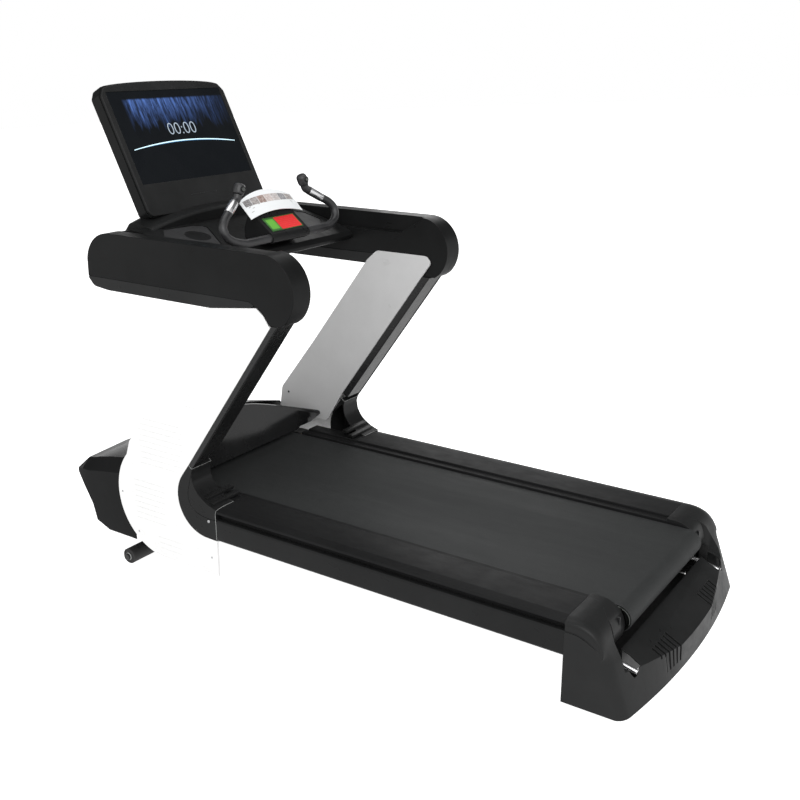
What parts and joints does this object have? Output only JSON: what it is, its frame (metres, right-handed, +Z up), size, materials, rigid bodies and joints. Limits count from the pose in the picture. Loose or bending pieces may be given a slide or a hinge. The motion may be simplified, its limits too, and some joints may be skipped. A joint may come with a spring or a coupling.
{
  "type": "treadmill",
  "caption": "Commercial motorised treadmill with powered incline, slanted white masts, hollow side arms, tilted screen, curled handlebar, thumb buttons and a low crowned motor hood.",
  "frame": {"origin": "on the floor, under the middle of the machine", "axes": "+Y forwards, the way the runner faces; +X to the runner's right; +Z up"},
  "size_m": [0.92, 2.1489, 1.6714],
  "materials": {
    "frame_paint": "satin black powder coat",
    "black_plastic": "satin moulded black",
    "gloss_black_plastic": "polished black",
    "belt_rubber": "fine matte charcoal texture",
    "panel_white": "white satin enamel",
    "steel": "bright brushed",
    "board_wood": "waxed laminate",
    "rubber": "matte",
    "screen": "polished, dark behind",
    "start_green": "satin",
    "stop_red": "satin",
    "sheet_white": "printed sheet",
    "motor_metal": "grey enamel",
    "controller_metal": "matt anodised"
  },
  "bodies": {
    "deck": {"side_beam_left": "frame_paint", "side_beam_right": "frame_paint", "crossmember_rear": "frame_paint", "crossmember_middle": "frame_paint", "crossmember_front": "frame_paint", "front_beam": "frame_paint", "lift_bracket": "frame_paint", "mast_left": "frame_paint", "mast_right": "frame_paint", "handlebar": "frame_paint", "foot_rail_left": "black_plastic", "foot_rail_right": "black_plastic", "rail_skirt_left": "black_plastic", "rail_skirt_right": "black_plastic", "rear_cap": "black_plastic", "lower_corner_left": "black_plastic", "lower_corner_right": "black_plastic", "arm_left": "black_plastic", "arm_right": "black_plastic", "arm_trim_left": "black_plastic", "arm_trim_right": "black_plastic", "console_tray": "black_plastic", "monitor_back": "black_plastic", "monitor_bezel": "black_plastic", "monitor_mount": "black_plastic", "grip_pod_left": "black_plastic", "grip_pod_right": "black_plastic", "control_pod": "black_plastic", "motor_hood": "gloss_black_plastic", "nose_cover": "gloss_black_plastic", "power_inlet": "gloss_black_plastic", "running_belt": "belt_rubber", "side_panel_left": "panel_white", "side_panel_right": "panel_white", "tension_bolt_left": "steel", "tension_bolt_right": "steel", "grip_sensor_left": "steel", "grip_sensor_right": "steel", "deck_board": "board_wood", "rear_foot_left": "rubber", "rear_foot_right": "rubber", "deck_cushion_left": "rubber", "deck_cushion_right": "rubber", "drive_belt": "rubber", "screen_glass": "screen", "info_board": "sheet_white", "drive_motor": "motor_metal", "lift_actuator": "motor_metal", "motor_controller": "controller_metal"},
    "front_roller": {"front_roller": "steel"},
    "rear_roller": {"rear_roller": "steel"},
    "motor_rotor": {"motor_pulley": "steel"},
    "lift_frame": {"lift_frame": "frame_paint"},
    "lift_wheel_left": {"lift_wheel_left": "rubber"},
    "lift_wheel_right": {"lift_wheel_right": "rubber"},
    "lift_tube": {"lift_tube": "steel"},
    "thumb_button_left": {"thumb_button_left": "steel"},
    "thumb_button_right": {"thumb_button_right": "steel"},
    "start_key": {"start_key": "start_green"},
    "stop_key": {"stop_key": "stop_red"}
  },
  "joints": [
    {"name": "lift_incline", "type": "hinge", "parent": "deck", "child": "lift_frame", "pos_m": [0, 0.47099, 0.11758], "axis": [1, 0, 0], "range_deg": [-25, 14.3]},
    {"name": "lift_wheel_left_spin", "type": "hinge", "parent": "lift_frame", "child": "lift_wheel_left", "pos_m": [-0.315, 0.89671, 0.027], "axis": [1, 0, 0], "continuous": true},
    {"name": "lift_wheel_right_spin", "type": "hinge", "parent": "lift_frame", "child": "lift_wheel_right", "pos_m": [0.315, 0.89671, 0.027], "axis": [1, 0, 0], "continuous": true},
    {"name": "lift_tube_slide", "type": "slide", "parent": "deck", "child": "lift_tube", "axis": [0, 0.9984, 0.0558], "range_m": [-0.0235, 0.041]},
    {"name": "front_roller_spin", "type": "hinge", "parent": "deck", "child": "front_roller", "pos_m": [0, 0.69647, 0.29445], "axis": [1, 0, 0], "continuous": true},
    {"name": "rear_roller_spin", "type": "hinge", "parent": "deck", "child": "rear_roller", "pos_m": [0, -0.93798, 0.20307], "axis": [1, 0, 0], "continuous": true},
    {"name": "motor_spin", "type": "hinge", "parent": "deck", "child": "motor_rotor", "pos_m": [0.303, 0.85025, 0.23093], "axis": [1, 0, 0], "continuous": true},
    {"name": "thumb_button_left_press", "type": "slide", "parent": "deck", "child": "thumb_button_left", "axis": [0.0709, 0.9975, -0.0026], "range_m": [0, 0.0015], "stiffness_N_per_m": 700},
    {"name": "thumb_button_right_press", "type": "slide", "parent": "deck", "child": "thumb_button_right", "axis": [-0.0709, 0.9975, -0.0026], "range_m": [0, 0.0015], "stiffness_N_per_m": 700},
    {"name": "start_key_press", "type": "slide", "parent": "deck", "child": "start_key", "axis": [0, 0.6613, -0.7501], "range_m": [0, 0.001], "stiffness_N_per_m": 900},
    {"name": "stop_key_press", "type": "slide", "parent": "deck", "child": "stop_key", "axis": [0, 0.6613, -0.7501], "range_m": [0, 0.001], "stiffness_N_per_m": 900}
  ],
  "couplings": [
    {"joint": "lift_tube_slide", "follows": "lift_incline", "m_per_rad": -0.0882},
    {"joint": "rear_roller_spin", "follows": "front_roller_spin", "ratio": 1},
    {"joint": "motor_spin", "follows": "front_roller_spin", "ratio": 2}
  ]
}
